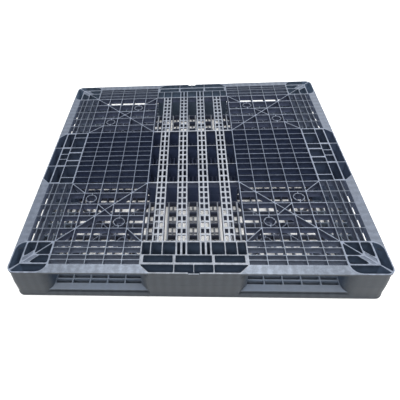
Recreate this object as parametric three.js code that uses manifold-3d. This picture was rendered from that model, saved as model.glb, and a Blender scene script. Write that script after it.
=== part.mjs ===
// A double-faced, four-way-entry plastic pallet, 1100 x 1100 x 120 mm, in millimetres with +Z up.
// It is two ribbed half mouldings, an upper and a lower one, welded face to face at mid-height.
// Each half is a 24 mm deep open deck with nine hollow block halves standing on it, and both are
// split here into the regions that a moulding drawing would name: blocks, deck grids, gratings and rails.
// The origin is at the centre of the underside. Left is -X and front is -Y.
import * as THREE from "three";
import { mergeVertices } from "three/addons/utils/BufferGeometryUtils.js";
import Module from "manifold-3d";

const wasm = await Module();
wasm.setup();

// Driving dimensions
const SIDE = 1100; // length and width of the pallet
const HEIGHT = 120;
const DECK_DEPTH = 24; // how deep the deck ribs are
const RIB = 3; // thickness of a deck rib
const WALL = 4; // thickness of a block's outer wall
const BLOCK_EDGE = 160; // half width of the centre block and of the mid-edge blocks
const TUNNEL_EDGE = 430; // where a fork tunnel ends and the outer blocks begin
const CELL = 55; // pitch of the deck ribs
const FIRST_RIB = 211; // the first deck rib outside the centre block
const RAIL_WIDTH = 32; // flat solid strip along each edge
const MOUTH_FLARE = 30; // 45 degree flare of a fork mouth, on the mid-edge block's side
const MOUTH_RADIUS = 34; // rounding of a fork mouth, on the corner block's side
const MOUTH_STEPS = 3;
const CORNER_RADIUS = 25; // outside corners of the pallet
const CORNER_STEPS = 5;

// Lead-in of a rail: a vertical lip, then a slope. The lower rails' slope is short and ends at a riser.
const LIP_DEPTH = 7; // depths are below the deck face
const SLOPE_DEPTH = 15;
const RISER_INSET = 8;
const CHAMFER_INSET = 22; // the upper rails' slope runs this far in

// Gratings and block ribs
const LADDER_WIDTH = 35; // a ladder is a strip with two columns of slots
const LADDER_RAIL = 6; // its middle rail
const LADDER_EDGE = 5; // its two outer rails
const UPPER_LADDERS = [-109.5, -36.5, 36.5, 109.5]; // centre lines
const LOWER_LADDERS = [-142.5, -73, 0, 73, 142.5];
const CROSS_RIB = 57; // the centre block's cross ribs
const MIDDLE_RIBS = [-125, -91, -57, -28.5, 0, 28.5, 57, 91, 125]; // from the centre block to a side one
const SOCKET_OUTER = 19; // radii of the ring sockets that stand in two cells of each deck grid
const SOCKET_INNER = 16;
const SOCKET_STEPS = 5; // flats round half a ring
const INNER_WALL = 483; // wall that splits the outer blocks, and the rib that continues it
const RAIL_RIBS = [455, INNER_WALL, 501]; // ribs along the rails, behind the flat strip
const OUTER_WALL = 515; // wall behind the outermost pockets
const HEAVY_WALL = 8; // the thick ribs that tie a mid-edge block together
const BOX_EDGE = 25; // half width of the small box in the side blocks
const SIDE_RIB = 125;
const PIN_RIB = 16; // thin ribs beside the middle of the side blocks
const GUSSET = 20; // how far the corner gusset reaches along its pockets
const NOTCH_WIDTH = 34; // hand notch in the top edge of the front and back blocks
const NOTCH_DEPTH = 5;

const EDGE = SIDE / 2;
const WELD = HEIGHT / 2;
const RAIL_EDGE = EDGE - RAIL_WIDTH;
const FLARE_START = EDGE - MOUTH_FLARE;
const GRID_LINES = [BLOCK_EDGE, ...[0, 1, 2, 3].map((k) => FIRST_RIB + k * CELL), TUNNEL_EDGE];
const DIAGONAL_GAP = RIB / Math.SQRT2; // a 45 degree rib's half thickness, measured along X or Y

const RIGHT_AND_LEFT = [[1, "right"], [-1, "left"]];
const BACK_AND_FRONT = [[1, "back"], [-1, "front"]];
const HALVES = [
  {
    name: "upper",
    ladders: UPPER_LADDERS,
    slope: { depth: DECK_DEPTH, inset: CHAMFER_INSET },
    level: (depth) => HEIGHT - depth,
  },
  {
    name: "lower",
    ladders: LOWER_LADDERS,
    slope: { depth: SLOPE_DEPTH, inset: RISER_INSET },
    level: (depth) => depth,
  },
];

// Materials
function plastic(color, roughness) {
  return new THREE.MeshStandardMaterial({ color, roughness, metalness: 0 });
}
const deckMaterial = plastic(0x4a505c, 0.5);
const railMaterial = plastic(0x5a616d, 0.55);
const blockMaterial = plastic(0x464a50, 0.6);

// Outlines are lists of [x, y] points.
const flip = (points, sx, sy) => points.map(([x, y]) => [x * sx, y * sy]);
const swap = (points) => points.map(([x, y]) => [y, x]);
const rectangle = (x0, x1, y0, y1) => [[x0, y0], [x1, y0], [x1, y1], [x0, y1]];

// A prism between two heights.
function extrude(outline, z0, z1) {
  const shape = new THREE.Shape(outline.map(([x, y]) => new THREE.Vector2(x, y)));
  const geometry = new THREE.ExtrudeGeometry(shape, { depth: Math.abs(z1 - z0), bevelEnabled: false });
  return geometry.translate(0, 0, Math.min(z0, z1));
}

function toSolid(geometry) {
  const bare = geometry.clone();
  bare.deleteAttribute("normal");
  bare.deleteAttribute("uv");
  const merged = mergeVertices(bare);
  const mesh = new wasm.Mesh({
    numProp: 3,
    vertProperties: merged.attributes.position.array,
    triVerts: new Uint32Array(merged.index.array),
  });
  return new wasm.Manifold(mesh);
}

function toGeometry(solid) {
  const mesh = solid.getMesh();
  const geometry = new THREE.BufferGeometry();
  geometry.setAttribute("position", new THREE.BufferAttribute(mesh.vertProperties, 3));
  geometry.setIndex(new THREE.BufferAttribute(mesh.triVerts, 1));
  geometry.computeVertexNormals();
  return geometry;
}

const cut = (geometry, cutter) => toGeometry(toSolid(geometry).subtract(toSolid(cutter)));

// A prism with straight holes through it. Each hole is cut from past one face to past the other.
function prism(outline, holes, z0, z1) {
  const [low, high] = [Math.min(z0, z1), Math.max(z0, z1)];
  let solid = toSolid(extrude(outline, low, high));
  for (const hole of holes) solid = solid.subtract(toSolid(extrude(hole, low - RIB, high + RIB)));
  return toGeometry(solid);
}

// The cells between ribs, one hole each. Ribs are centred on the lines, so the outer ribs are half ribs.
function cells(xLines, yLines) {
  const inset = RIB / 2;
  const holes = [];
  for (let i = 0; i + 1 < xLines.length; i++) {
    for (let j = 0; j + 1 < yLines.length; j++) {
      const x = [xLines[i] + inset, xLines[i + 1] - inset];
      const y = [yLines[j] + inset, yLines[j + 1] - inset];
      holes.push({ i, j, box: rectangle(x[0], x[1], y[0], y[1]) });
    }
  }
  return holes;
}

// A cell split by a diagonal rib that rises from its low corner, or falls from its high one.
function splitCell(box, rising) {
  const [[x0, y0], , [x1, y1]] = box;
  const g = DIAGONAL_GAP;
  if (rising) {
    return [
      [[x0 + g, y0], [x1, y0], [x1, y1 - g]],
      [[x0, y0 + g], [x1 - g, y1], [x0, y1]],
    ];
  }
  return [
    [[x0, y0], [x1 - g, y0], [x0, y1 - g]],
    [[x1, y0 + g], [x1, y1], [x0 + g, y1]],
  ];
}

// A square cell with both diagonals.
function crossedCell(box) {
  const [[x0, y0], , [x1, y1]] = box;
  const g = DIAGONAL_GAP;
  const cx = (x0 + x1) / 2;
  const cy = (y0 + y1) / 2;
  return [
    [[x0 + g, y0], [x1 - g, y0], [cx, cy - g]],
    [[x0 + g, y1], [x1 - g, y1], [cx, cy + g]],
    [[x0, y0 + g], [x0, y1 - g], [cx - g, cy]],
    [[x1, y0 + g], [x1, y1 - g], [cx + g, cy]],
  ];
}

// A square cell with a ring socket in its middle, tied to the ribs in front of it and behind it.
function socketCell(box) {
  const [[x0, y0], , [x1, y1]] = box;
  const cx = (x0 + x1) / 2;
  const cy = (y0 + y1) / 2;
  const tie = Math.asin(RIB / 2 / SOCKET_OUTER);
  const right = [[cx + RIB / 2, y0], [x1, y0], [x1, y1], [cx + RIB / 2, y1]];
  for (let k = 0; k <= SOCKET_STEPS; k++) {
    const angle = Math.PI / 2 - tie - ((Math.PI - 2 * tie) * k) / SOCKET_STEPS;
    right.push([cx + SOCKET_OUTER * Math.cos(angle), cy + SOCKET_OUTER * Math.sin(angle)]);
  }
  const left = right.map(([x, y]) => [2 * cx - x, y]);
  const bore = [];
  for (let k = 0; k < 2 * SOCKET_STEPS; k++) {
    const angle = (Math.PI * k) / SOCKET_STEPS;
    bore.push([cx + SOCKET_INNER * Math.cos(angle), cy + SOCKET_INNER * Math.sin(angle)]);
  }
  return [right, left, bore];
}

// Deck grid over the crossing of two fork tunnels, with a diagonal from the corner block to the centre.
function quadrantGrid(half, sx, sy) {
  const outline = rectangle(BLOCK_EDGE, TUNNEL_EDGE, BLOCK_EDGE, TUNNEL_EDGE);
  const last = GRID_LINES.length - 2;
  const holes = cells(GRID_LINES, GRID_LINES).flatMap(({ i, j, box }) => {
    if (i === j && i + j === last) return crossedCell(box);
    if (i === j) return splitCell(box, true);
    if (i + j === last) return i === 0 || j === 0 ? splitCell(box, false) : socketCell(box);
    return [box];
  });
  const placed = holes.map((hole) => flip(hole, sx, sy));
  return prism(flip(outline, sx, sy), placed, half.level(0), half.level(DECK_DEPTH));
}

// Deck grid between the centre block and a side block.
function middleGrid(half, sx) {
  const yLines = [-BLOCK_EDGE, ...MIDDLE_RIBS, BLOCK_EDGE];
  const outline = rectangle(BLOCK_EDGE, TUNNEL_EDGE, -BLOCK_EDGE, BLOCK_EDGE);
  const holes = cells(GRID_LINES, yLines).map(({ box }) => flip(box, sx, 1));
  return prism(flip(outline, sx, 1), holes, half.level(0), half.level(DECK_DEPTH));
}

// The strips of X that a set of ladders leaves open: the slots in each ladder and the gaps between ladders.
function ladderOpenings(ladders) {
  const slots = ladders.flatMap((x) => [
    [x - LADDER_WIDTH / 2 + LADDER_EDGE, x - LADDER_RAIL / 2],
    [x + LADDER_RAIL / 2, x + LADDER_WIDTH / 2 - LADDER_EDGE],
  ]);
  const sides = [-BLOCK_EDGE + WALL, ...ladders.flatMap((x) => [x - LADDER_WIDTH / 2, x + LADDER_WIDTH / 2])];
  sides.push(BLOCK_EDGE - WALL);
  const gaps = [];
  for (let i = 0; i < sides.length; i += 2) gaps.push([sides[i], sides[i + 1]]);
  return { slots, gaps: gaps.filter(([a, b]) => b - a > RIB) };
}

// Ladders over a fork tunnel, tied together by the deck rib at each end.
function channelGrating(half, sy) {
  const { slots, gaps } = ladderOpenings(half.ladders);
  const middle = (BLOCK_EDGE + TUNNEL_EDGE) / 2;
  const [y0, y1] = [BLOCK_EDGE + RIB / 2, TUNNEL_EDGE - RIB / 2];
  const holes = gaps.map(([a, b]) => rectangle(a, b, y0, y1));
  for (const [a, b] of slots) {
    holes.push(rectangle(a, b, y0, middle - RIB));
    holes.push(rectangle(a, b, middle + RIB, y1));
  }
  const outline = rectangle(-BLOCK_EDGE, BLOCK_EDGE, BLOCK_EDGE, TUNNEL_EDGE);
  const placed = holes.map((hole) => flip(hole, 1, sy));
  return prism(flip(outline, 1, sy), placed, half.level(0), half.level(DECK_DEPTH));
}

// Centre block: four walls, the ladders' rails and two cross ribs, open right through.
function centreBlock(half) {
  const { slots, gaps } = ladderOpenings(half.ladders);
  const wall = BLOCK_EDGE - WALL;
  const rib = RIB / 2;
  const rows = [[-wall, -CROSS_RIB - rib], [-CROSS_RIB + rib, CROSS_RIB - rib], [CROSS_RIB + rib, wall]];
  const holes = [];
  for (const [y0, y1] of rows) {
    for (const [a, b] of [...slots, ...gaps]) {
      holes.push(rectangle(Math.max(a, -wall), Math.min(b, wall), y0, y1));
    }
  }
  const outline = rectangle(-BLOCK_EDGE, BLOCK_EDGE, -BLOCK_EDGE, BLOCK_EDGE);
  return prism(outline, holes, half.level(0), half.level(WELD));
}

const edgeBlockOutline = [
  [-BLOCK_EDGE, TUNNEL_EDGE],
  [BLOCK_EDGE, TUNNEL_EDGE],
  [BLOCK_EDGE, FLARE_START],
  [BLOCK_EDGE - MOUTH_FLARE, EDGE],
  [MOUTH_FLARE - BLOCK_EDGE, EDGE],
  [-BLOCK_EDGE, FLARE_START],
];

// The outermost pocket at one end of a mid-edge block follows the flare.
function flaredPocket(x0) {
  const flareLine = BLOCK_EDGE + FLARE_START - WALL * Math.SQRT2;
  const side = BLOCK_EDGE - WALL;
  const face = EDGE - WALL;
  const back = OUTER_WALL + RIB;
  return [[x0, back], [side, back], [side, flareLine - side], [flareLine - face, face], [x0, face]];
}

// Front or back mid-edge block: a row of cells and ladder slots, three wide slots, and outer pockets.
function endBlockHoles() {
  const rib = RIB / 2;
  const inner = [TUNNEL_EDGE + WALL, INNER_WALL - rib];
  const middle = [INNER_WALL + rib, OUTER_WALL - WALL];
  const outer = [OUTER_WALL + RIB, EDGE - WALL];
  const [, , ladder, outerLadder] = UPPER_LADDERS;
  const edges = [ladder, outerLadder].flatMap((x) => [x - LADDER_WIDTH / 2, x + LADDER_WIDTH / 2]);
  const holes = [rectangle(-edges[0], edges[0], ...inner)];
  const heavy = HEAVY_WALL / 2;
  holes.push(rectangle(heavy - CROSS_RIB, CROSS_RIB - heavy, ...middle));
  for (const [side] of RIGHT_AND_LEFT) {
    const right = [
      rectangle(edges[0] + LADDER_EDGE, ladder - LADDER_RAIL / 2, ...inner),
      rectangle(ladder + LADDER_RAIL / 2, edges[1] - LADDER_EDGE, ...inner),
      rectangle(edges[1], edges[2], ...inner),
      rectangle(edges[2] + RIB, edges[3], ...inner),
      rectangle(edges[3] + RIB, BLOCK_EDGE - WALL, ...inner),
      rectangle(CROSS_RIB + heavy, BLOCK_EDGE - HEAVY_WALL - WALL, ...middle),
      rectangle(rib, CROSS_RIB - rib, ...outer),
      flaredPocket(CROSS_RIB + rib),
    ];
    holes.push(...right.map((hole) => flip(hole, side, 1)));
  }
  return holes;
}

// Left or right mid-edge block, drawn as a front or back one: cells round a small box, then two rows
// of pockets.
function sideBlockHoles() {
  const rib = RIB / 2;
  const heavy = HEAVY_WALL / 2;
  const inner = [TUNNEL_EDGE + WALL, INNER_WALL - rib];
  const middle = [INNER_WALL + rib, OUTER_WALL - rib];
  const holes = [
    rectangle(RIB - BOX_EDGE, BOX_EDGE - RIB, ...inner),
    rectangle(rib - PIN_RIB, PIN_RIB - rib, ...middle),
    rectangle(rib - CROSS_RIB, CROSS_RIB - rib, OUTER_WALL + RIB, EDGE - WALL),
  ];
  for (const [side] of RIGHT_AND_LEFT) {
    const right = [
      rectangle(BOX_EDGE + RIB, CROSS_RIB - rib, ...inner),
      rectangle(CROSS_RIB + rib, SIDE_RIB - rib, ...inner),
      rectangle(SIDE_RIB + rib, BLOCK_EDGE - WALL, ...inner),
      rectangle(PIN_RIB + rib, CROSS_RIB - heavy, ...middle),
      rectangle(CROSS_RIB + heavy, BLOCK_EDGE - HEAVY_WALL, ...middle),
      flaredPocket(CROSS_RIB + rib),
    ];
    holes.push(...right.map((hole) => flip(hole, side, 1)));
  }
  return holes;
}

// Hand notch in the top edge of a front or back block's outer wall.
function handNotch(half, sy) {
  const outline = rectangle(-NOTCH_WIDTH / 2, NOTCH_WIDTH / 2, EDGE - 2 * WALL, EDGE + WALL);
  return extrude(flip(outline, 1, sy), half.level(-NOTCH_DEPTH), half.level(NOTCH_DEPTH));
}

function endBlock(half, sy) {
  const holes = endBlockHoles().map((hole) => flip(hole, 1, sy));
  const block = prism(flip(edgeBlockOutline, 1, sy), holes, half.level(0), half.level(WELD));
  return half.name === "upper" ? cut(block, handNotch(half, sy)) : block;
}

function sideBlock(half, sx) {
  const holes = sideBlockHoles().map((hole) => flip(swap(hole), sx, 1));
  return prism(flip(swap(edgeBlockOutline), sx, 1), holes, half.level(0), half.level(WELD));
}

// Points on the rounded outside corner, from the X side towards the Y side.
function cornerArc(radius, from, to, steps) {
  const centre = EDGE - CORNER_RADIUS;
  const points = [];
  for (let k = 0; k <= steps; k++) {
    const angle = from + ((to - from) * k) / steps;
    points.push([centre + radius * Math.cos(angle), centre + radius * Math.sin(angle)]);
  }
  return points;
}

// Points on a corner block's rounded edge at a fork mouth, from the tunnel towards the outer face.
function mouthArc(radius, from) {
  const points = [];
  for (let k = 0; k <= MOUTH_STEPS; k++) {
    const angle = from + ((Math.PI / 2 - from) * k) / MOUTH_STEPS;
    const x = TUNNEL_EDGE + MOUTH_RADIUS - radius * Math.cos(angle);
    points.push([x, EDGE - MOUTH_RADIUS + radius * Math.sin(angle)]);
  }
  return points;
}

// Corner block: a square of two triangular cells, two short pockets with a solid gusset between them,
// and an outer pocket along each face, split at the corner by the diagonal wall.
function cornerBlock(half, sx, sy) {
  const rib = RIB / 2;
  const innerFace = TUNNEL_EDGE + WALL;
  const outline = [
    [TUNNEL_EDGE, TUNNEL_EDGE],
    ...swap(mouthArc(MOUTH_RADIUS, 0)),
    ...cornerArc(CORNER_RADIUS, 0, Math.PI / 2, CORNER_STEPS),
    ...mouthArc(MOUTH_RADIUS, 0).reverse(),
  ];
  const [start, end] = [INNER_WALL + rib, OUTER_WALL - rib];
  const shortPocket = [[start, innerFace], [end, innerFace], [end, start + rib], [start, start - GUSSET]];
  const back = OUTER_WALL + RIB;
  const pocketRadius = MOUTH_RADIUS - WALL;
  const facePocket = [
    ...swap(mouthArc(pocketRadius, Math.asin((back - EDGE + MOUTH_RADIUS) / pocketRadius))),
    ...cornerArc(CORNER_RADIUS - WALL, 0, Math.PI / 5, 2),
    [back, back - DIAGONAL_GAP],
  ];
  const holes = [
    ...splitCell(rectangle(innerFace, INNER_WALL - rib, innerFace, INNER_WALL - rib), true),
    shortPocket,
    swap(shortPocket),
    facePocket,
    swap(facePocket),
  ];
  const placed = holes.map((hole) => flip(hole, sx, sy));
  return prism(flip(outline, sx, sy), placed, half.level(0), half.level(WELD));
}

// The space that a rail's lead-in leaves free, as a bar along the back edge, turned to face the way given.
function leadIn(half, quarterTurns) {
  const [lip, slope, under] = [LIP_DEPTH, half.slope.depth, 2 * DECK_DEPTH].map(half.level);
  const riser = EDGE - half.slope.inset;
  const clear = EDGE + half.slope.inset;
  const profile = [[EDGE, lip], [clear, lip], [clear, under], [riser, under], [riser, slope]];
  const bar = extrude(profile, -EDGE, EDGE);
  const along = new THREE.Matrix4().makeBasis(
    new THREE.Vector3(0, 1, 0),
    new THREE.Vector3(0, 0, 1),
    new THREE.Vector3(1, 0, 0),
  );
  return bar.applyMatrix4(along).rotateZ((quarterTurns * Math.PI) / 2);
}

// Edge rail over a fork mouth: the flat strip and the deck grid behind it. Drawn along the back edge.
function edgeRail(half, place, quarterTurns) {
  const outline = [
    [BLOCK_EDGE, TUNNEL_EDGE],
    [TUNNEL_EDGE, TUNNEL_EDGE],
    ...mouthArc(MOUTH_RADIUS, 0),
    [BLOCK_EDGE - MOUTH_FLARE, EDGE],
    [BLOCK_EDGE, FLARE_START],
  ];
  const rows = [TUNNEL_EDGE, ...RAIL_RIBS, RAIL_EDGE + RIB / 2];
  const holes = cells(GRID_LINES, rows).map(({ box }) => place(box));
  const plate = prism(place(outline), holes, half.level(0), half.level(DECK_DEPTH));
  return cut(plate, leadIn(half, quarterTurns));
}

const pallet = new THREE.Group();

function add(name, geometry, material) {
  const mesh = new THREE.Mesh(geometry, material);
  mesh.name = name;
  pallet.add(mesh);
}

const QUARTER_TURNS = { back: 0, left: 1, front: 2, right: 3 };
for (const half of HALVES) {
  add(`${half.name}_centre_block`, centreBlock(half), blockMaterial);
  for (const [sx, xName] of RIGHT_AND_LEFT) {
    add(`${half.name}_${xName}_block`, sideBlock(half, sx), blockMaterial);
    add(`${half.name}_${xName}_middle_grid`, middleGrid(half, sx), deckMaterial);
  }
  for (const [sy, yName] of BACK_AND_FRONT) {
    add(`${half.name}_${yName}_block`, endBlock(half, sy), blockMaterial);
    add(`${half.name}_${yName}_channel_grating`, channelGrating(half, sy), deckMaterial);
    for (const [sx, xName] of RIGHT_AND_LEFT) {
      const corner = `${half.name}_${yName}_${xName}`;
      add(`${corner}_corner_block`, cornerBlock(half, sx, sy), blockMaterial);
      add(`${corner}_deck_grid`, quadrantGrid(half, sx, sy), deckMaterial);
      const endPlace = (points) => flip(points, sx, sy);
      const sidePlace = (points) => flip(swap(points), sx, sy);
      add(`${corner}_end_rail`, edgeRail(half, endPlace, QUARTER_TURNS[yName]), railMaterial);
      add(`${corner}_side_rail`, edgeRail(half, sidePlace, QUARTER_TURNS[xName]), railMaterial);
    }
  }
}

export default pallet;
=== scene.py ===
import math

import bpy
import numpy as np
from mathutils import Matrix, Vector
from mathutils.geometry import delaunay_2d_cdt


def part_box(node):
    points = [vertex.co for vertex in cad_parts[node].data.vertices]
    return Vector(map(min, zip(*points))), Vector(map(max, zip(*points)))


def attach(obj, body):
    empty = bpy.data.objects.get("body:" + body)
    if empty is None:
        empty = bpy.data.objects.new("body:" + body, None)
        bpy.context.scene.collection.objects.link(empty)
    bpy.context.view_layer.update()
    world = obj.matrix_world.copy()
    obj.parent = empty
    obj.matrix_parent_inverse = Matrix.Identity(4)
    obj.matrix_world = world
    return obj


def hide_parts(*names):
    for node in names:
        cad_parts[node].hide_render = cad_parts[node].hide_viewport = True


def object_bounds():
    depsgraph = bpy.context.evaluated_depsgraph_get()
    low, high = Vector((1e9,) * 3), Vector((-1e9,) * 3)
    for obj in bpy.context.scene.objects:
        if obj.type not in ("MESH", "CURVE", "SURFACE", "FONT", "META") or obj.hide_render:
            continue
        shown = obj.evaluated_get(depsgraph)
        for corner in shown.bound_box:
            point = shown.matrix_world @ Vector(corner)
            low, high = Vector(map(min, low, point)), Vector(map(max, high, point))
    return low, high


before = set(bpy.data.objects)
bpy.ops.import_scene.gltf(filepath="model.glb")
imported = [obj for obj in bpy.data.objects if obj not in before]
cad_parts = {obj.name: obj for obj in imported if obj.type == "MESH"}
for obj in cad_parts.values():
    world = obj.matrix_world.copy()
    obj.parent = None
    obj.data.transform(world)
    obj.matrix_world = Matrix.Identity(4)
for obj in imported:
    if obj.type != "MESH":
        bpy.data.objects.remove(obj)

MM = 0.001
cad_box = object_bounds()


def millimetres(value):
    return round(value / MM, 3)


# Dimensions that the CAD nodes give
EDGE = millimetres(cad_box[1].x)
HEIGHT = millimetres(cad_box[1].z)
WELD = millimetres(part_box("lower_centre_block")[1].z)
BLOCK_EDGE = millimetres(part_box("upper_centre_block")[1].x)
TUNNEL_EDGE = millimetres(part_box("upper_back_right_deck_grid")[1].x)
DECK_DEPTH = HEIGHT - millimetres(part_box("upper_back_right_deck_grid")[0].z)

# Ribs and walls. Ribs on the thin lines of the middle grids are narrower by the thinning on each side.
RIB = 3
HALF_RIB = RIB / 2
WALL = 4
HEAVY_WALL = 8
FIRST_RIB = 211
CELL = 55
GRID_LINES = [BLOCK_EDGE, *(FIRST_RIB + k * CELL for k in range(4)), TUNNEL_EDGE]
HALF_MIDDLE_LINES = [0, 28.5, 57, 91, 125, BLOCK_EDGE]
MIDDLE_LINES = [-y for y in HALF_MIDDLE_LINES[:0:-1]] + HALF_MIDDLE_LINES
THIN_LINES = (28.5, 57, 125)
THINNING = 0.45
RAIL_LINES = [TUNNEL_EDGE, 455, 483, 501]
STRIP_START = 518
DIAGONAL_GAP = RIB / math.sqrt(2)

# Edges and corners. The mid-edge blocks' sides stand back from the block edge in the fork tunnels, and slope
# away at the fork mouths.
MOUTH_FLARE = 30
FLARE_START = EDGE - MOUTH_FLARE
BLOCK_SIDE = BLOCK_EDGE - 2
FLARE_WALL = 2.5
LOW_FLARE = 25
LOW_FLARE_DEPTH = 34
MOUTH_RADIUS = 34
MOUTH_STEPS = 8
CORNER_RADIUS = 25
CORNER_STEPS = 8
TUNNEL_CORNER = 13
FLARE_CORNER = 4
LOW_FLARE_CORNER = 12
CELL_RADIUS = 1.2
POCKET_RADIUS = 3
MAX_REACH = 0.42
LIP_DEPTH = 7
LIP_STEP = 1.5
BEVEL = 0.8
EDGE_ROUNDING = 0.3
SEAM = 0.4
SHARP_ANGLE = math.radians(32)

# Inset of the outer faces at each depth below the deck face. Only the upper half's lip reaches the full size.
LIP = {"upper": 0, "lower": 1.2}
FACE_INSET = 2.5
FACE_DRAFT = 0.3
LOW_FLARE_DRAFT = 0.5
WELD_INSET = 1
UPPER_SLOPE = [(DECK_DEPTH, 22)]
LOWER_GROOVE = [(13, 6.5), (13.4, 14), (19, 14), (19.4, 8), (DECK_DEPTH, 8)]
RAIL_FACE = {"upper": UPPER_SLOPE, "lower": LOWER_GROOVE}
NOTCH_WIDTH = 34
NOTCH_DEPTH = 5
NOTCH_SLOPE = 2

# Ladders and block walls. A ladder is a thin plate with slots, over cross ribs at the grid lines.
LADDER_WIDTH = 35
LADDER_RAIL = 6
LADDER_EDGE = 5
UPPER_LADDERS = [-109.5, -36.5, 36.5, 109.5]
LOWER_LADDERS = [-142.5, -73, 0, 73, 142.5]
RUNG = 7
RUNG_DEPTH = 3.5
BLOCK_RUNG_DEPTH = 9
SLOT_RADIUS = 1.5
SLOT_MARGIN = 0.4
BLOCK_SLOT_END = 1.5
CHANNEL_WALL = 2
CROSS_RIB = 57
CROSS_RIB_HALF = 0.8
CENTRE_RIB_HALF = 1.1
INNER_WALL = 483
OUTER_WALL = 515
BOX_EDGE = 25
SIDE_RIB = 125
PIN_RIB = 16
GUSSET = 20
GUSSET_DEPTH = 1.5
GUSSET_RADIUS = 6
GUSSET_FACE_RADIUS = 2
SOCKET_OUTER = 19
SOCKET_INNER = 16.5
SOCKET_STEPS = 10
SOCKET_LUG = 2.5
SOCKET_LUGS = 6
LUG_ROOT = 0.09
LUG_TIP = 0.08
BORE_ANGLES = [0.3 + 0.225 * m for m in range(3)]

# Growth of an opening at each depth: a worn edge, then draft
RAIL_CELL_PROFILE = [(0, 0.7), (0.6, 0.2), (DECK_DEPTH - 0.5, -0.6), (DECK_DEPTH, -0.3)]
CELL_PROFILE = [(0, 0.7), (0.6, 0.2), (DECK_DEPTH - 0.5, -0.25), (DECK_DEPTH, 0.1)]
POCKET_PROFILE = [(0, 0.6), (0.6, 0), (WELD, -0.5)]


# Loops are lists of (x, y) points, anticlockwise seen from above.
def rectangle(x0, x1, y0, y1):
    return [(x0, y0), (x1, y0), (x1, y1), (x0, y1)]


def offset(loop, distance):
    """The loop grown outwards by a distance, with mitred corners."""
    if distance == 0:
        return loop
    grown = []
    for k, (x, y) in enumerate(loop):
        x0, y0 = loop[k - 1]
        x1, y1 = loop[(k + 1) % len(loop)]
        a = Vector((y - y0, x0 - x)).normalized()
        b = Vector((y1 - y, x - x1)).normalized()
        shift = (a + b) * (distance / (1 + a.dot(b)))
        grown.append((x + shift.x, y + shift.y))
    return grown


def corner_points(before, corner, after, radius, steps):
    """Points of a rounded corner, and the same number of points along the sharp one. A side shorter than the
    rounding needs makes it smaller."""
    corner = Vector(corner)
    u = Vector(before) - corner
    v = Vector(after) - corner
    angle = u.angle(v)
    reach = min(radius / math.tan(angle / 2), MAX_REACH * u.length, MAX_REACH * v.length)
    start = corner + u.normalized() * reach
    end = corner + v.normalized() * reach
    rounded, sharp = [], []
    for k in range(steps + 1):
        t = k / steps
        rounded.append(tuple(start * (1 - t) ** 2 + corner * (2 * t * (1 - t)) + end * t ** 2))
        side = start.lerp(corner, 2 * t) if t <= 0.5 else corner.lerp(end, 2 * t - 1)
        sharp.append(tuple(side))
    return rounded, sharp


def fillet(loop, radius, steps=2):
    points = []
    for k, corner in enumerate(loop):
        points += corner_points(loop[k - 1], corner, loop[(k + 1) % len(loop)], radius, steps)[0]
    return points


def outline_pair(corners, steps=4):
    """Rounded and sharp versions of an outline with matching points. Each corner is (point, radius)."""
    rounded, sharp = [], []
    for k, (corner, radius) in enumerate(corners):
        if radius == 0:
            rounded.append(corner)
            sharp.append(corner)
            continue
        after = corners[(k + 1) % len(corners)][0]
        curve, square = corner_points(corners[k - 1][0], corner, after, radius, steps)
        rounded += curve
        sharp += square
    return rounded, sharp


def place(loop, sx, sy, swapped):
    """Turns a loop drawn in the back right corner to its own corner, still anticlockwise."""
    turned = [(y * sx, x * sy) if swapped else (x * sx, y * sy) for x, y in loop]
    return turned[::-1] if sx * sy * (-1 if swapped else 1) < 0 else turned


class Opening:
    """A hole through a region. Its tops are its loops at the deck face, which run together into the loop
    below at the depth of its shallow rungs. A recess has a floor at that depth instead."""

    def __init__(self, tops, below=None, depth=0, recess=False):
        self.tops = tops
        self.below = below
        self.depth = depth
        self.recess = recess

    def placed(self, *where):
        tops = [place(loop, *where) for loop in self.tops]
        return Opening(tops, self.below and place(self.below, *where), self.depth, self.recess)


def plain(loop, radius=CELL_RADIUS):
    return Opening([fillet(loop, radius)])


def ladder_slot(columns, rungs, y0, y1, rung_depth, under=None):
    """Slots from y0 to y1 in each (x0, x1) column, under shallow rungs at the given places. Below the rungs
    they run together, from the first to the last column and over the y range given by under."""
    cuts = [y0, *(y for r in rungs for y in (r - RUNG / 2, r + RUNG / 2)), y1]
    spans = list(zip(cuts[::2], cuts[1::2]))
    tops = [fillet(rectangle(*x, a, b), SLOT_RADIUS) for x in columns for a, b in spans]
    low, high = under or (y0 - SLOT_MARGIN, y1 + SLOT_MARGIN)
    below = rectangle(columns[0][0] - SLOT_MARGIN, columns[-1][1] + SLOT_MARGIN, low, high)
    return Opening(tops, fillet(below, SLOT_RADIUS), rung_depth)


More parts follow.
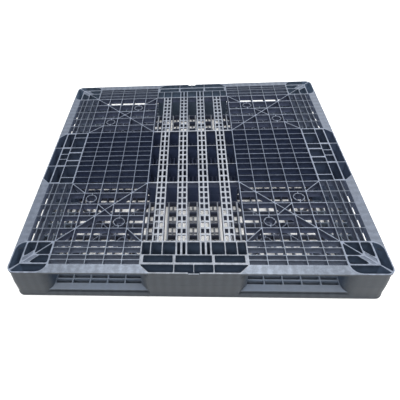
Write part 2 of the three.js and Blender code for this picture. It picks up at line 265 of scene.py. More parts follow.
class Moulding:
    """A closed body built from rings of points, each at a depth below the deck face."""

    def __init__(self, upper):
        self.upper = upper
        self.points = []
        self.faces = []
        self.outside = []

    def ring(self, loop, depth):
        z = HEIGHT - depth if self.upper else depth
        first = len(self.points)
        self.points += [(x, y, z) for x, y in loop]
        return list(range(first, len(self.points)))

    def tunnel_wall_shade(self, rings, hole):
        for a, b in zip(rings, rings[1:]):
            for k in range(len(a)):
                m = (k + 1) % len(a)
                quad = [b[k], b[m], a[m], a[k]]
                self.faces.append(quad[::-1] if hole else quad)
                self.outside.append(0.0 if hole else 1.0)

    def cap(self, rings, towards_deck):
        """Fills between an outer ring and the rings inside it. The triangulation covers the whole hull, so
        the triangles with an even number of ring edges to their right are left out."""
        index = [i for ring in rings for i in ring]
        flat = np.array([self.points[i][:2] for i in index])
        edges = []
        for ring in rings:
            first = len(edges)
            edges += [(first + k, first + (k + 1) % len(ring)) for k in range(len(ring))]
        whole_hull, tolerance = 0, 1e-6
        found = delaunay_2d_cdt([Vector(p) for p in flat], edges, [], whole_hull, tolerance, True)
        triangles, origin = found[2], found[3]
        if any(not o for o in origin):
            raise ValueError("the loops of a cap cross")
        triangles = np.array([[origin[k][0] for k in t] for t in triangles])
        a, b, c = (flat[triangles[:, k]] for k in range(3))
        turn = (b[:, 0] - a[:, 0]) * (c[:, 1] - a[:, 1]) - (b[:, 1] - a[:, 1]) * (c[:, 0] - a[:, 0])
        centre = (a + b + c) / 3
        starts, ends = flat[[e[0] for e in edges]], flat[[e[1] for e in edges]]
        x, y = centre[:, :1], centre[:, 1:]
        crossed = (starts[:, 1] > y) != (ends[:, 1] > y)
        rise = ends[:, 1] - starts[:, 1]
        rise[rise == 0] = 1
        crossing = starts[:, 0] + (y - starts[:, 1]) * (ends[:, 0] - starts[:, 0]) / rise
        inside = (crossed & (x < crossing)).sum(axis=1) % 2 == 1
        for t, anticlockwise in zip(triangles[inside], turn[inside] > 0):
            face = [index[k] for k in t]
            self.faces.append(face if bool(anticlockwise) == towards_deck else face[::-1])
            self.outside.append(0.0)

    def cut(self, opening, profile):
        """Adds an opening's walls, and returns its rings at the deck face and at the far face."""
        if opening.recess:
            steps = [profile[0], profile[1], (opening.depth, 0)]
            rings = [self.ring(offset(opening.tops[0], growth), depth) for depth, growth in steps]
            self.tunnel_wall_shade(rings, True)
            self.cap([rings[-1]], True)
            return [rings[0]], []
        if opening.below is None:
            rings = [self.ring(offset(opening.tops[0], growth), depth) for depth, growth in profile]
            self.tunnel_wall_shade(rings, True)
            return [rings[0]], [rings[-1]]
        tops, ends = [], []
        for loop in opening.tops:
            steps = [profile[0], profile[1], (opening.depth, 0)]
            rings = [self.ring(offset(loop, growth), depth) for depth, growth in steps]
            self.tunnel_wall_shade(rings, True)
            tops.append(rings[0])
            ends.append(rings[-1])
        steps = [(opening.depth, 0), *profile[2:]]
        rings = [self.ring(offset(opening.below, growth), depth) for depth, growth in steps]
        self.tunnel_wall_shade(rings, True)
        self.cap([rings[0], *ends], False)
        return tops, [rings[-1]]

    def build(self, outline, openings, profile):
        outer = [self.ring(loop, depth) for depth, loop in outline]
        self.tunnel_wall_shade(outer, False)
        tops, bottoms = [outer[0]], [outer[-1]]
        for opening in openings:
            top, bottom = self.cut(opening, profile)
            tops += top
            bottoms += bottom
        self.cap(tops, True)
        self.cap(bottoms, False)

    def mesh(self, name):
        faces = self.faces if self.upper else [face[::-1] for face in self.faces]
        mesh = bpy.data.meshes.new(name)
        mesh.from_pydata([(x * MM, y * MM, z * MM) for x, y, z in self.points], [], faces)
        mesh.attributes.new("outside", "FLOAT", "FACE").data.foreach_set("value", self.outside)
        mesh.shade_smooth()
        mesh.set_sharp_from_angle(angle=SHARP_ANGLE)
        return mesh


# Regions, drawn in the back right corner. Each gives its outline, as (depth, loop), and its openings.
def flat_outline(*sides):
    return [(0, rectangle(*sides)), (DECK_DEPTH, rectangle(*sides))]


def cells(x_lines, y_lines, thin_lines=()):
    half = {y: HALF_RIB - (THINNING if abs(y) in thin_lines else 0) for y in y_lines}
    found = {}
    for i, (x0, x1) in enumerate(zip(x_lines, x_lines[1:])):
        for j, (y0, y1) in enumerate(zip(y_lines, y_lines[1:])):
            found[i, j] = rectangle(x0 + HALF_RIB, x1 - HALF_RIB, y0 + half[y0], y1 - half[y1])
    return found


def split_cell(box, rising):
    (x0, y0), _, (x1, y1), _ = box
    g = DIAGONAL_GAP
    if rising:
        return [[(x0 + g, y0), (x1, y0), (x1, y1 - g)], [(x0, y0 + g), (x1 - g, y1), (x0, y1)]]
    return [[(x0, y0), (x1 - g, y0), (x0, y1 - g)], [(x1, y0 + g), (x1, y1), (x0 + g, y1)]]


def crossed_cell(box):
    (x0, y0), _, (x1, y1), _ = box
    g = DIAGONAL_GAP
    cx, cy = (x0 + x1) / 2, (y0 + y1) / 2
    return [
        [(x0 + g, y0), (x1 - g, y0), (cx, cy - g)],
        [(x1 - g, y1), (x0 + g, y1), (cx, cy + g)],
        [(x0, y1 - g), (x0, y0 + g), (cx - g, cy)],
        [(x1, y0 + g), (x1, y1 - g), (cx + g, cy)],
    ]


def socket_cell(box):
    """A cell with a ring socket, tied to the ribs in front of it and behind it."""
    (x0, y0), _, (x1, y1), _ = box
    cx, cy = (x0 + x1) / 2, (y0 + y1) / 2
    tie = math.asin(HALF_RIB / SOCKET_OUTER)
    arc = []
    for k in range(SOCKET_STEPS + 1):
        angle = -math.pi / 2 + tie + (math.pi - 2 * tie) * k / SOCKET_STEPS
        arc.append((SOCKET_OUTER * math.cos(angle), SOCKET_OUTER * math.sin(angle)))
    right = [(cx + HALF_RIB, y0), (x1, y0), (x1, y1), (cx + HALF_RIB, y1)]
    right += [(cx + x, cy + y) for x, y in arc[::-1]]
    left = [(2 * cx - x, y) for x, y in right][::-1]
    bore = []
    inner = SOCKET_INNER - SOCKET_LUG
    for k in range(SOCKET_LUGS):
        start = 2 * math.pi * (k + 0.5) / SOCKET_LUGS
        lug = [(SOCKET_INNER, -LUG_ROOT), (inner, -LUG_TIP), (inner, LUG_TIP), (SOCKET_INNER, LUG_ROOT)]
        for radius, angle in lug + [(SOCKET_INNER, angle) for angle in BORE_ANGLES]:
            bore.append((cx + radius * math.cos(start + angle), cy + radius * math.sin(start + angle)))
    return [Opening([right]), Opening([left]), Opening([bore])]


def quadrant_grid():
    last = len(GRID_LINES) - 2
    openings = []
    for (i, j), box in cells(GRID_LINES, GRID_LINES).items():
        if i == j and i + j == last:
            openings += [plain(loop) for loop in crossed_cell(box)]
        elif i == j:
            openings += [plain(loop) for loop in split_cell(box, True)]
        elif i + j == last and (i == 0 or j == 0):
            openings += [plain(loop) for loop in split_cell(box, False)]
        elif i + j == last:
            openings += socket_cell(box)
        else:
            openings.append(plain(box))
    return flat_outline(BLOCK_EDGE, TUNNEL_EDGE, BLOCK_EDGE, TUNNEL_EDGE), openings


def middle_grid():
    openings = [plain(box) for box in cells(GRID_LINES, MIDDLE_LINES, THIN_LINES).values()]
    return flat_outline(BLOCK_EDGE, TUNNEL_EDGE, -BLOCK_EDGE, BLOCK_EDGE), openings


def ladder_openings(ladders):
    slots = []
    for x in ladders:
        slots.append((x - LADDER_WIDTH / 2 + LADDER_EDGE, x - LADDER_RAIL / 2))
        slots.append((x + LADDER_RAIL / 2, x + LADDER_WIDTH / 2 - LADDER_EDGE))
    side = BLOCK_EDGE - CHANNEL_WALL
    sides = [-side, *(x + s * LADDER_WIDTH / 2 for x in ladders for s in (-1, 1)), side]
    gaps = [(a, b) for a, b in zip(sides[::2], sides[1::2]) if b - a > RIB]
    return slots, gaps


def channel_grating(ladders):
    slots, gaps = ladder_openings(ladders)
    y0, y1 = BLOCK_EDGE + HALF_RIB, TUNNEL_EDGE - HALF_RIB
    openings = [plain(rectangle(a, b, y0, y1)) for a, b in gaps]
    for columns in zip(slots[::2], slots[1::2]):
        for k, (start, end) in enumerate(zip(GRID_LINES, GRID_LINES[1:])):
            low = y0 if k == 0 else start + RUNG / 2
            high = y1 if end == TUNNEL_EDGE else end - RUNG / 2
            under = (start + HALF_RIB - SLOT_MARGIN, end - HALF_RIB + SLOT_MARGIN)
            openings.append(ladder_slot(columns, [(start + end) / 2], low, high, RUNG_DEPTH, under))
    return flat_outline(-BLOCK_EDGE, BLOCK_EDGE, BLOCK_EDGE, TUNNEL_EDGE), openings


def lip_profile(half):
    lip = LIP[half]
    return [(0, lip + BEVEL), (BEVEL, lip), (LIP_DEPTH, lip)]


def block_face(half):
    return [*lip_profile(half), (LIP_DEPTH + LIP_STEP, FACE_INSET), (DECK_DEPTH, FACE_INSET - FACE_DRAFT)]


def block_outline(half, corners_at):
    """Rings of a block's outline: square corners and a rim at the deck, rounded corners in the fork tunnels.
    corners_at gives the (point, radius) corners for an inset of the outer face, a flare and its rounding."""
    rings = []
    start = block_face(half)[-1][1]
    for depth, inset in block_face(half):
        rings.append((depth, outline_pair(corners_at(inset, MOUTH_FLARE, FLARE_CORNER))[1]))
    first = outline_pair(corners_at(start, MOUTH_FLARE, FLARE_CORNER))[0]
    rings.append((DECK_DEPTH + EDGE_ROUNDING, offset(first, -EDGE_ROUNDING)))
    below = [(LOW_FLARE_DEPTH, start - LOW_FLARE_DRAFT, 0)]
    below += [(WELD - SEAM, WELD_INSET, 0), (WELD, WELD_INSET, SEAM)]
    for depth, inset, seam in below:
        corners = corners_at(inset, LOW_FLARE, LOW_FLARE_CORNER)
        rings.append((depth, offset(outline_pair(corners)[0], -seam)))
    return rings


def centre_block(half, ladders):
    slots, gaps = ladder_openings(ladders)
    wall = BLOCK_EDGE - WALL
    openings = []
    for low, high in [(-wall, -CROSS_RIB), (-CROSS_RIB, CROSS_RIB), (CROSS_RIB, wall)]:
        y0, y1 = (y if abs(y) == wall else y + s * CROSS_RIB_HALF for y, s in ((low, 1), (high, -1)))
        rungs = [y for y in MIDDLE_LINES if low < y < high]
        openings += [plain(rectangle(a, b, y0, y1), POCKET_RADIUS) for a, b in gaps]
        first, last = y0 + BLOCK_SLOT_END, y1 - BLOCK_SLOT_END
        openings += [ladder_slot([slot], rungs, first, last, BLOCK_RUNG_DEPTH) for slot in slots]

    def corners_at(*_):
        square = rectangle(-BLOCK_EDGE, BLOCK_EDGE, -BLOCK_EDGE, BLOCK_EDGE)
        return [(corner, TUNNEL_CORNER) for corner in square]

    return block_outline(half, corners_at), openings


def edge_block_corners(inset, flare, rounding):
    face, reach = EDGE - inset, BLOCK_EDGE - flare + inset
    return [
        ((-BLOCK_SIDE, TUNNEL_EDGE), TUNNEL_CORNER),
        ((BLOCK_SIDE, TUNNEL_EDGE), TUNNEL_CORNER),
        ((BLOCK_SIDE, EDGE - flare), rounding),
        ((reach, face), rounding),
        ((-reach, face), rounding),
        ((-BLOCK_SIDE, EDGE - flare), rounding),
    ]


def mirrored(loop):
    return [(-x, y) for x, y in loop][::-1]


def flared_pocket(x0):
    """A pocket behind a mid-edge block's outer wall, with its end along the flare."""
    flare_line = BLOCK_SIDE + FLARE_START - FLARE_WALL
    face, back = EDGE - WALL, OUTER_WALL + RIB
    return [(x0, back), (flare_line - back, back), (flare_line - face, face), (x0, face)]


def end_block(half):
    inner = (TUNNEL_EDGE + WALL, INNER_WALL - HALF_RIB)
    middle = (INNER_WALL + HALF_RIB, OUTER_WALL - WALL)
    outer = (OUTER_WALL + RIB, EDGE - WALL)
    ladder, outer_ladder = UPPER_LADDERS[2:]
    edges = [x + s * LADDER_WIDTH / 2 for x in (ladder, outer_ladder) for s in (-1, 1)]
    heavy = HEAVY_WALL / 2
    loops = [rectangle(-edges[0], edges[0], *inner), rectangle(heavy - CROSS_RIB, CROSS_RIB - heavy, *middle)]
    right = [
        rectangle(edges[0] + LADDER_EDGE, ladder - LADDER_RAIL / 2, *inner),
        rectangle(ladder + LADDER_RAIL / 2, edges[1] - LADDER_EDGE, *inner),
        rectangle(edges[1], edges[2], *inner),
        rectangle(edges[2] + RIB, edges[3], *inner),
        rectangle(edges[3] + RIB, BLOCK_SIDE - RIB, *inner),
        rectangle(CROSS_RIB + heavy, BLOCK_EDGE - HEAVY_WALL - WALL, *middle),
        rectangle(CENTRE_RIB_HALF, CROSS_RIB - HALF_RIB, *outer),
        flared_pocket(CROSS_RIB + HALF_RIB),
    ]
    loops += right + [mirrored(loop) for loop in right]
    return block_outline(half, edge_block_corners), [plain(loop, POCKET_RADIUS) for loop in loops]


def side_block(half):
    heavy = HEAVY_WALL / 2
    inner = (TUNNEL_EDGE + WALL, INNER_WALL - HALF_RIB)
    middle = (INNER_WALL + HALF_RIB, OUTER_WALL - HALF_RIB)
    loops = [
        rectangle(RIB - BOX_EDGE, BOX_EDGE - RIB, *inner),
        rectangle(HALF_RIB - PIN_RIB, PIN_RIB - HALF_RIB, *middle),
        rectangle(HALF_RIB - CROSS_RIB, CROSS_RIB - HALF_RIB, OUTER_WALL + RIB, EDGE - WALL),
    ]
    right = [
        rectangle(BOX_EDGE + RIB, CROSS_RIB - HALF_RIB, *inner),
        rectangle(CROSS_RIB + HALF_RIB, SIDE_RIB - HALF_RIB, *inner),
        rectangle(SIDE_RIB + HALF_RIB, BLOCK_SIDE - RIB, *inner),
        rectangle(PIN_RIB + HALF_RIB, CROSS_RIB - heavy, *middle),
        rectangle(CROSS_RIB + heavy, BLOCK_EDGE - HEAVY_WALL, *middle),
        flared_pocket(CROSS_RIB + HALF_RIB),
    ]
    loops += right + [mirrored(loop) for loop in right]
    return block_outline(half, edge_block_corners), [plain(loop, POCKET_RADIUS) for loop in loops]


def mouth_arc(radius, inset, first=0, face=EDGE):
    """Points of a corner block's rounded edge at a fork mouth, from the tunnel towards the outer face."""
    reach = radius - inset
    last = math.asin(min(1, (face - EDGE + MOUTH_RADIUS) / reach))
    points = []
    for k in range(MOUTH_STEPS + 1):
        angle = first + (last - first) * k / MOUTH_STEPS
        x = TUNNEL_EDGE + MOUTH_RADIUS - radius * math.cos(angle)
        points.append((x, EDGE - MOUTH_RADIUS + reach * math.sin(angle)))
    return points


def swapped_axes(loop):
    return [(y, x) for x, y in loop]


def corner_arc(radius, first, last, steps):
    centre = EDGE - CORNER_RADIUS
    angles = [first + (last - first) * k / steps for k in range(steps + 1)]
    return [(centre + radius * math.cos(a), centre + radius * math.sin(a)) for a in angles]


def corner_block_corners(inset, *_):
    arc = mouth_arc(MOUTH_RADIUS, inset)
    round_corner = corner_arc(CORNER_RADIUS - inset, 0, math.pi / 2, CORNER_STEPS)
    points = [*swapped_axes(arc), *round_corner, *arc[::-1]]
    return [((TUNNEL_EDGE, TUNNEL_EDGE), TUNNEL_CORNER), *((point, 0) for point in points)]


def corner_block(half):
    inner = TUNNEL_EDGE + WALL
    start, end = INNER_WALL + HALF_RIB, OUTER_WALL - HALF_RIB
    short = [(start, inner), (end, inner), (end, end - GUSSET), (start, start - GUSSET)]
    # The outer pockets follow the rounded edge, and end beside the web across the corner.
    back = OUTER_WALL + RIB
    pocket_radius = MOUTH_RADIUS - WALL
    first = math.asin((back - EDGE + MOUTH_RADIUS) / pocket_radius)
    outer = swapped_axes(mouth_arc(pocket_radius, 0, first))
    outer += corner_arc(CORNER_RADIUS - WALL, 0, math.pi / 5, 3)
    outer.append((back, back - DIAGONAL_GAP))
    cell = rectangle(inner, INNER_WALL - HALF_RIB, inner, INNER_WALL - HALF_RIB)
    openings = [plain(loop, POCKET_RADIUS) for loop in split_cell(cell, True)]
    for loop in (fillet(short, GUSSET_RADIUS), outer):
        openings += [Opening([loop]), Opening([place(loop, 1, 1, True)])]
    # Each gusset has a sunk face inside a raised border, which is wider along the sloping edges.
    x0, x1 = start + 2, end - 1
    sunk = [(x0, start - GUSSET + 4.5), (x1, end - GUSSET + 1.5), (x1, end - 5), (x0, start - 2)]
    sunk = fillet(sunk, GUSSET_FACE_RADIUS)
    for loop in (sunk, place(sunk, 1, 1, True)):
        openings.append(Opening([loop], depth=GUSSET_DEPTH, recess=True))
    return block_outline(half, corner_block_corners), openings


def edge_rail(half):
    rings = []
    for depth, inset in lip_profile(half) + RAIL_FACE[half]:
        face = EDGE - inset
        block_inset = float(np.interp(depth, *zip(*block_face(half))))
        rings.append((depth, [
            (BLOCK_SIDE, TUNNEL_EDGE),
            (TUNNEL_EDGE, TUNNEL_EDGE),
            *mouth_arc(MOUTH_RADIUS, block_inset, 0, face),
            (BLOCK_EDGE - MOUTH_FLARE + inset, face),
            (BLOCK_SIDE, FLARE_START),
        ]))
    # The first cells start just inside the block's side, so that their worn edge stays within the outline.
    x_lines = [BLOCK_SIDE - 0.5, *GRID_LINES[1:]]
    y_lines = [*RAIL_LINES, STRIP_START + HALF_RIB]
    return rings, [plain(box) for box in cells(x_lines, y_lines).values()]


# Materials: one moulded plastic, in lit and shaded copies for decks, rails and blocks, with light and shade
# painted into their colours.
class Shader:
    """Small helper for building a material's node tree."""

    def __init__(self, name):
        self.material = bpy.data.materials.new(name)
        self.material.use_nodes = True
        self.tree = self.material.node_tree
        self.surface = self.tree.nodes["Principled BSDF"]

    def add(self, kind, links=(), **settings):
        node = self.tree.nodes.new(kind)
        for key, value in settings.items():
            setattr(node, key, value)
        for key, value in dict(links).items():
            self.feed(node.inputs[key], value)
        return node

    def feed(self, socket, value):
        if isinstance(value, bpy.types.NodeSocket):
            self.tree.links.new(value, socket)
        else:
            socket.default_value = value

    def maths(self, operation, a, b=0.0, clamp=False):
        return self.add("ShaderNodeMath", {0: a, 1: b}, operation=operation, use_clamp=clamp).outputs[0]

    def ramp(self, value, low, high, to_low=0.0, to_high=1.0):
        links = {0: value, 1: low, 2: high, 3: to_low, 4: to_high}
        return self.add("ShaderNodeMapRange", links, interpolation_type="SMOOTHSTEP").outputs[0]

    def noise(self, place, scale, detail=4.0, stretch=None, offset=(0, 0, 0), roughness=0.55):
        if stretch:
            links = {"Vector": place, "Scale": stretch, "Location": offset}
            place = self.add("ShaderNodeMapping", links).outputs[0]
        links = {"Vector": place, "Scale": scale, "Detail": detail, "Roughness": roughness}
        return self.add("ShaderNodeTexNoise", links).outputs["Fac"]

    def mix(self, factor, a, b):
        node = self.add("ShaderNodeMix", data_type="RGBA")
        self.feed(node.inputs[0], factor)
        self.feed(node.inputs[6], a)
        self.feed(node.inputs[7], b)
        return node.outputs[2]

    def scaled(self, colour, by):
        return self.add("ShaderNodeVectorMath", {0: colour, 3: by}, operation="SCALE").outputs[0]

    def bump(self, height, strength, distance, under=None):
        links = {"Strength": strength, "Distance": distance * MM, "Height": height}
        if under:
            links["Normal"] = under
        return self.add("ShaderNodeBump", links).outputs[0]


def tint(colour, by=1.0):
    return tuple(min(1, c * by) for c in colour) + (1,)


OUTER = (0.036, 0.041, 0.048)
SPECULAR = 0.2
BORDER = 14

# How much painted light the lower ladders' plates get seen from inside, and the sunk faces of the gussets
PLATE_LIGHT = 0.75
GUSSET_LIGHT = 0.5

# Heights above and below mid-height, in metres, between which a look fades in
DECK_HEIGHTS = (0.0583, 0.0596)
LEDGE_HEIGHTS = (0.0535, 0.0545)
GUSSET_HEIGHTS = (0.0575, 0.0583)
# The first pair below sets where painted light inside the pockets and cells fades in, the second where the
# ledge colour does
INNER_LIGHT_HEIGHTS = (0.056, 0.030)
LEDGE_TINT_HEIGHTS = (0.0535, 0.0525)
# Strength of the painted light at the cells' floors and by the left and right sides
CELL_FLOOR_LIGHT = 1.4
SIDE_POCKET_LIGHT = 0.95


def plastic(name, face, inner, dust_and_shading, roughness, border=None, tunnel_wall_shade=1.0, far_face=None):
    """Moulded plastic, pale on the deck faces, grey outside and dark inside its pockets and cells.
    The pale faces are scuffing with painted top light and sheen, and the insides' colours are painted shade.
    The face takes the border's tint where it meets the plain ribs at either side of the middle channel, or
    fades to the far face's tint from a mid-edge block to the corner block; these tints are painted light and
    shade. The tunnel wall shade argument scales the colour of the walls round the fork tunnels, against that
    of the insides, as painted shade."""
    s = Shader(name)
    place = s.add("ShaderNodeTexCoord").outputs["Object"]
    x, y, z = s.add("ShaderNodeSeparateXYZ", {0: place}).outputs
    normal = s.add("ShaderNodeSeparateXYZ", {0: s.add("ShaderNodeNewGeometry").outputs["Normal"]}).outputs[2]
    height = s.maths("ABSOLUTE", s.maths("SUBTRACT", z, HEIGHT * MM / 2))
    x, y = s.maths("ABSOLUTE", x), s.maths("ABSOLUTE", y)
    reach = s.maths("MAXIMUM", x, y)
    outside = s.add("ShaderNodeAttribute", attribute_name="outside").outputs["Fac"]

    broad = s.noise(place, 7, 5)
    mottle = s.noise(place, 80, 8, roughness=0.72)
    speck = s.noise(place, 420, 3)
    along = s.ramp(s.noise(place, 1, 6, (230, 9, 20), roughness=0.7), 0.56, 0.72)
    across = s.ramp(s.noise(place, 1, 6, (9, 230, 20), (3.7, 1.9, 0), roughness=0.7), 0.58, 0.74)
    upright = s.ramp(s.maths("ABSOLUTE", normal), 0.4, 0.8, 0.15, 1.0)
    scratch = s.maths("MULTIPLY", s.maths("MAXIMUM", along, across), upright)

    # The deck faces carry the loads, so they are scuffed paler, and the pale colour also holds painted top
    # light and sheen; it fades over each rib's edge. The gussets' sunk faces, and the lower ladders' plates
    # seen from inside, get a weaker share of it, which is painted light only.
    edge = s.maths("ADD", height, s.maths("MULTIPLY", s.maths("SUBTRACT", mottle, 0.5), 1.5 * MM))
    wear_and_top_light = s.ramp(edge, *DECK_HEIGHTS)
    level = s.ramp(normal, 0.75, 0.95)
    ledge = s.maths("MULTIPLY", level, s.ramp(height, *LEDGE_HEIGHTS))
    ledge = s.maths("MULTIPLY", ledge, s.ramp(height, *GUSSET_HEIGHTS, PLATE_LIGHT, GUSSET_LIGHT))
    wear_and_top_light = s.maths("MAXIMUM", wear_and_top_light, ledge)
    wear = s.maths("ADD", broad, s.maths("MULTIPLY", mottle, 0.6))
    worn_and_lit = s.maths("MULTIPLY", wear_and_top_light, s.ramp(wear, 0.45, 1.1, 0.72, 1.0))

    # Sink marks show as faint bands across the flat strips, over the ribs behind them.
    from_rib = s.maths("SUBTRACT", s.maths("MINIMUM", x, y), FIRST_RIB * MM)
    band = s.maths("COSINE", s.maths("MULTIPLY", from_rib, 4 * math.pi / (CELL * MM)))
    strip = s.ramp(reach, (STRIP_START + 1) * MM, (STRIP_START + 4) * MM)
    band = s.maths("MULTIPLY", s.maths("MULTIPLY", band, strip), s.ramp(broad, 0.35, 0.6, 0.1, 0.3))

    tone = s.maths("ADD", s.ramp(mottle, 0.3, 0.75), band)
    if far_face:
        along_tunnel = s.ramp(x, BLOCK_EDGE * MM, TUNNEL_EDGE * MM)
        face_colour = s.mix(along_tunnel, tint(face), tint(far_face))
    else:
        beside = s.ramp(x, (BLOCK_EDGE - BORDER) * MM, (BLOCK_EDGE - WALL) * MM)
        face_colour = s.mix(beside, tint(face), tint(border or face))
    pale = s.ramp(tone, 0, 1, 0.8, 1.15)
    pale = s.maths("ADD", pale, s.maths("MULTIPLY", scratch, 0.4))
    face_colour = s.scaled(face_colour, pale)
    outer_colour = s.mix(tone, tint(OUTER, 0.85), tint(OUTER, 1.15))

    # Pockets and cells are darkest at the rim, with painted light towards their floors and by the left and
    # right sides.
    inner_light = s.ramp(height, *INNER_LIGHT_HEIGHTS, 0, CELL_FLOOR_LIGHT)
    beyond = s.ramp(x, (OUTER_WALL - RIB) * MM, (OUTER_WALL + RIB) * MM, 0, SIDE_POCKET_LIGHT)
    inner_light = s.maths("ADD", inner_light, beyond)
    inner_light = s.maths("ADD", inner_light, s.ramp(tone, 0, 1, 0.8, 1.25))
    inner_light = s.maths("MULTIPLY", inner_light, s.ramp(outside, 0, 1, 1, tunnel_wall_shade))
    inner_colour = s.scaled(inner, inner_light)
    # Outside faces near the outer edges take the outer grey; deeper in the fork tunnels they fade to the
    # inner colour, which is painted shade
    shown = s.maths("MULTIPLY", outside, s.ramp(reach, (TUNNEL_EDGE + CELL) * MM, (EDGE - FACE_INSET) * MM))
    side_colour = s.mix(shown, inner_colour, outer_colour)
    colour = s.mix(worn_and_lit, side_colour, face_colour)

    # Ledges and the lower half's inner faces take the ledge colour: dust with painted light where that colour
    # is pale, and painted shade where it is dark.
    ledge_dust_and_shading = s.maths("MULTIPLY", level, s.ramp(height, *LEDGE_TINT_HEIGHTS))
    ledge_dust_and_shading = s.maths("MULTIPLY", ledge_dust_and_shading, s.maths("SUBTRACT", 1.0, outside))
    ledge_dust_and_shading = s.maths("MULTIPLY", ledge_dust_and_shading, s.ramp(s.maths("ADD", broad, speck), 0.8, 1.2, 0.45, 0.9))
    colour = s.mix(ledge_dust_and_shading, colour, tint(dust_and_shading))
    s.feed(s.surface.inputs["Base Color"], colour)

    rough = s.ramp(mottle, 0.3, 0.7, roughness - 0.07, roughness + 0.08)
    rough = s.maths("ADD", rough, s.maths("MULTIPLY", scratch, 0.08))
    rough = s.maths("ADD", rough, s.maths("MULTIPLY", ledge_dust_and_shading, 0.2), clamp=True)
    s.feed(s.surface.inputs["Roughness"], rough)
    s.surface.inputs["Specular IOR Level"].default_value = SPECULAR

    grain = s.noise(place, 1300, 2)
    sink = s.noise(place, 38, 2)
    grained = s.bump(grain, 0.25, 0.2)
    scratched = s.bump(s.maths("MULTIPLY", scratch, -1.0), 0.5, 0.12, grained)
    s.feed(s.surface.inputs["Normal"], s.bump(sink, 0.35, 1.2, scratched))
    return s.material


# Colours of the faces, of the insides and of the ledges. The face and inside colours differ by region as
# painted light and shade, and the insides' darkness is painted shade.
FACE = (0.167, 0.187, 0.233)
BACK_FACE = (0.135, 0.15, 0.185)
MIDDLE_FACE = (0.113, 0.13, 0.17)
END_FACE = (0.19, 0.213, 0.253)
FAR_END_FACE = (0.134, 0.151, 0.182)
SIDE_FACE = (0.10, 0.113, 0.14)
LADDER_FACE = (0.26, 0.272, 0.30)
FRONT_FACE = (0.222, 0.234, 0.262)
BACK_LADDER_FACE = (0.20, 0.215, 0.245)

OPEN = (0.030, 0.036, 0.058)
RAIL_OPEN = (0.045, 0.054, 0.078)
LOW_RAIL_OPEN = (0.060, 0.075, 0.10)
DEEP = (0.024, 0.034, 0.052)
BACK_DEEP = (0.038, 0.053, 0.076)
SIDE_DEEP = (0.018, 0.025, 0.041)
SHADED_INSIDE = (0.013, 0.018, 0.035)

# Ledge colours: the pale ones are dust with painted light, and the dark one is painted shade
DECK_DUST_AND_LIGHT = (0.19, 0.212, 0.255)
RAIL_DUST_AND_LIGHT = (0.14, 0.157, 0.185)
LADDER_DUST_AND_LIGHT = (0.36, 0.38, 0.41)
LEDGE_SHADE = (0.03, 0.035, 0.055)

# Lit and shaded copies of the one plastic, one per kind of region, with painted light and shade in their
# colours
deck_plastic = plastic("moulded_deck_plastic", FACE, OPEN, DECK_DUST_AND_LIGHT, 0.48)
middle_plastic = plastic("moulded_middle_plastic", MIDDLE_FACE, SHADED_INSIDE, LEDGE_SHADE, 0.5)
ladder_plastic = plastic("moulded_ladder_plastic", LADDER_FACE, OPEN, LADDER_DUST_AND_LIGHT, 0.48, FACE)
back_ladder_plastic = plastic(
    "moulded_back_ladder_plastic", BACK_LADDER_FACE, OPEN, LADDER_DUST_AND_LIGHT, 0.48, BACK_FACE)
end_rail_plastic = plastic(
    "moulded_end_rail_plastic", END_FACE, RAIL_OPEN, RAIL_DUST_AND_LIGHT, 0.5, far_face=FAR_END_FACE)
side_rail_plastic = plastic("moulded_side_rail_plastic", SIDE_FACE, RAIL_OPEN, RAIL_DUST_AND_LIGHT, 0.5)
low_rail_plastic = plastic("moulded_low_rail_plastic", SIDE_FACE, LOW_RAIL_OPEN, RAIL_DUST_AND_LIGHT, 0.5)
block_plastic = plastic("moulded_block_plastic", FACE, DEEP, LEDGE_SHADE, 0.52)
side_block_plastic = plastic("moulded_side_block_plastic", FACE, SIDE_DEEP, LEDGE_SHADE, 0.52)
back_block_plastic = plastic(
    "moulded_back_block_plastic", BACK_FACE, BACK_DEEP, LEDGE_SHADE, 0.52, tunnel_wall_shade=0.53)
front_block_plastic = plastic("moulded_front_block_plastic", FRONT_FACE, DEEP, LEDGE_SHADE, 0.5)
centre_plastic = plastic("moulded_centre_plastic", LADDER_FACE, SHADED_INSIDE, LEDGE_SHADE, 0.52, FACE)


def add_object(name, data):
    added = bpy.data.objects.new(name, data)
    bpy.context.scene.collection.objects.link(added)
    return added


def cut_notch(piece, sy):
    """Lowers the middle of a block's outer wall at the deck face, with sloping ends."""
    half, slope = NOTCH_WIDTH / 2, NOTCH_SLOPE
    y0, y1 = sorted((sy * (EDGE - WALL - 1), sy * (EDGE + WALL)))
    floor, clear = HEIGHT - NOTCH_DEPTH, HEIGHT + NOTCH_DEPTH
    section = [(slope - half, floor), (half - slope, floor), (half + slope, clear), (-half - slope, clear)]
    points = [(x * MM, y * MM, z * MM) for y in (y0, y1) for x, z in section]
    sides = [(k + 4, (k + 1) % 4 + 4, (k + 1) % 4, k) for k in range(4)]
    mesh = bpy.data.meshes.new("notch")
    mesh.from_pydata(points, [], [(0, 1, 2, 3), (7, 6, 5, 4), *sides])
    cutter = add_object("notch", mesh)
    modifier = piece.modifiers.new("notch", "BOOLEAN")
    modifier.operation = "DIFFERENCE"
    modifier.solver = "EXACT"
    modifier.object = cutter
    bpy.context.view_layer.update()
    graph = bpy.context.evaluated_depsgraph_get()
    cut = bpy.data.meshes.new_from_object(piece.evaluated_get(graph))
    piece.modifiers.clear()
    piece.data = cut
    piece.data.set_sharp_from_angle(angle=SHARP_ANGLE)
    bpy.data.objects.remove(cutter)


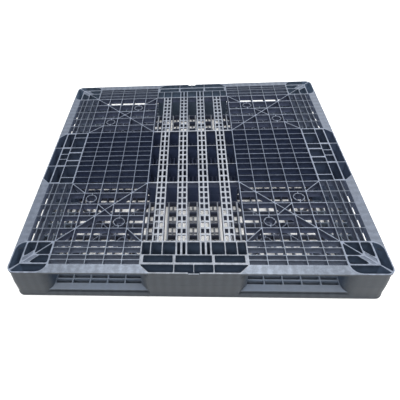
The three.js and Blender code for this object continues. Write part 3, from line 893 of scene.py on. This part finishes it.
def add_piece(node, region, slot, material, sx=1, sy=1, swapped=False):
    """Builds a region in its own place, to stand for its CAD node."""
    outline, openings = region
    outline = [(depth, place(loop, sx, sy, swapped)) for depth, loop in outline]
    openings = [opening.placed(sx, sy, swapped) for opening in openings]
    moulding = Moulding(node.startswith("upper"))
    profile = CELL_PROFILE if outline[-1][0] == DECK_DEPTH else POCKET_PROFILE
    profile = RAIL_CELL_PROFILE if slot == "rail_plastic" else profile
    moulding.build(outline, openings, profile)
    name = node + "_moulding"
    piece = add_object(name, moulding.mesh(name))
    piece.data.materials.append(material)
    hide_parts(node)
    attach(piece, "root")
    return piece


LADDERS = {"upper": UPPER_LADDERS, "lower": LOWER_LADDERS}

# The slot and the material of each kind of region
DECK = ("deck_plastic", deck_plastic)
MIDDLE = ("deck_plastic", middle_plastic)
LADDER = {"front": ("deck_plastic", ladder_plastic), "back": ("deck_plastic", back_ladder_plastic)}
END_BLOCK = {"front": ("block_plastic", front_block_plastic), "back": ("block_plastic", back_block_plastic)}
CORNER = {"front": ("block_plastic", block_plastic), "back": ("block_plastic", back_block_plastic)}
SIDE_BLOCK = ("block_plastic", side_block_plastic)
CENTRE = ("block_plastic", centre_plastic)
SIDE_RAIL = {"upper": ("rail_plastic", side_rail_plastic), "lower": ("rail_plastic", low_rail_plastic)}
END_RAIL = {"upper_front": ("rail_plastic", end_rail_plastic)}

for half in ("upper", "lower"):
    add_piece(f"{half}_centre_block", centre_block(half, LADDERS[half]), *CENTRE)
    for sx, x_name in ((1, "right"), (-1, "left")):
        add_piece(f"{half}_{x_name}_block", side_block(half), *SIDE_BLOCK, sx, 1, True)
        add_piece(f"{half}_{x_name}_middle_grid", middle_grid(), *MIDDLE, sx)
    for sy, y_name in ((1, "back"), (-1, "front")):
        block = add_piece(f"{half}_{y_name}_block", end_block(half), *END_BLOCK[y_name], 1, sy)
        if half == "upper":
            cut_notch(block, sy)
        add_piece(f"{half}_{y_name}_channel_grating", channel_grating(LADDERS[half]), *LADDER[y_name], 1, sy)
        end_rail = END_RAIL.get(f"{half}_{y_name}", SIDE_RAIL[half])
        for sx, x_name in ((1, "right"), (-1, "left")):
            corner = f"{half}_{y_name}_{x_name}"
            add_piece(f"{corner}_corner_block", corner_block(half), *CORNER[y_name], sx, sy)
            add_piece(f"{corner}_deck_grid", quadrant_grid(), *DECK, sx, sy)
            add_piece(f"{corner}_end_rail", edge_rail(half), *end_rail, sx, sy)
            add_piece(f"{corner}_side_rail", edge_rail(half), *SIDE_RAIL[half], sx, sy, True)


# Floor, light and camera
FLOOR_REACH = 12
FLOOR_DROP = 0.0006
FLOOR_TINTS = ((0.90, 0.88, 0.85, 1), (0.92, 0.90, 0.87, 1))
SKY = (0.90, 0.95, 1.0, 1)
KEY_DIRECTION = (0.5, 1.2, -1.9)
LENS = 36.384
SENSOR = 36
CAMERA_PLACE = (-0.00264, -1.23278, 1.05666)
PITCH, YAW, ROLL = 43.422, -6.291, -4.776
SHIFT = 0.10


def studio_floor():
    corners = rectangle(-FLOOR_REACH, FLOOR_REACH, -FLOOR_REACH, FLOOR_REACH)
    mesh = bpy.data.meshes.new("studio_floor")
    mesh.from_pydata([(x, y, -FLOOR_DROP) for x, y in corners], [], [(0, 1, 2, 3)])
    floor = add_object("studio_floor", mesh)
    s = Shader("pale_floor")
    place = s.add("ShaderNodeTexCoord").outputs["Object"]
    s.feed(s.surface.inputs["Base Color"], s.mix(s.noise(place, 3, 3), *FLOOR_TINTS))
    s.surface.inputs["Roughness"].default_value = 0.9
    mesh.materials.append(s.material)


def sky_light():
    world = bpy.data.worlds.new("studio")
    world.use_nodes = True
    background = world.node_tree.nodes["Background"]
    background.inputs["Color"].default_value = SKY
    background.inputs["Strength"].default_value = 1.0
    bpy.context.scene.world = world


def aim(light, direction):
    light.rotation_euler = Vector(direction).to_track_quat("-Z", "Y").to_euler()


def area_light(name, where, towards, size, power):
    data = bpy.data.lights.new(name, "AREA")
    data.shape = "RECTANGLE"
    data.size, data.size_y = size
    data.energy = power
    light = add_object(name, data)
    light.location = where
    aim(light, Vector(towards) - Vector(where))


def key_light():
    data = bpy.data.lights.new("far_key_light", "SUN")
    data.energy = 2.1
    data.angle = math.radians(50)
    aim(add_object("far_key_light", data), KEY_DIRECTION)


def photo_camera():
    """The camera fitted to the photograph's corners of the pallet."""
    data = bpy.data.cameras.new("camera")
    data.lens = LENS
    data.sensor_width = SENSOR
    data.shift_x = SHIFT
    camera = add_object("camera", data)
    turn = Matrix.Rotation(math.radians(-YAW), 4, "Z") @ Matrix.Rotation(math.radians(90 - PITCH), 4, "X")
    turn = turn @ Matrix.Rotation(math.radians(ROLL), 4, "Z")
    camera.matrix_world = Matrix.Translation(CAMERA_PLACE) @ turn
    bpy.context.scene.camera = camera


studio_floor()
sky_light()
bpy.context.scene.view_settings.view_transform = "Standard"
area_light("overhead_softbox", (0.3, 0.2, 2.8), (0, 0, 0), (2.4, 2.4), 36)
area_light("side_softbox", (1.4, -0.9, 1.6), (0, 0, 0), (1.6, 1.2), 16)
area_light("back_softbox", (1.5, 2.0, 1.9), (0, 0, 0.1), (1.8, 1.2), 26)
key_light()
photo_camera()
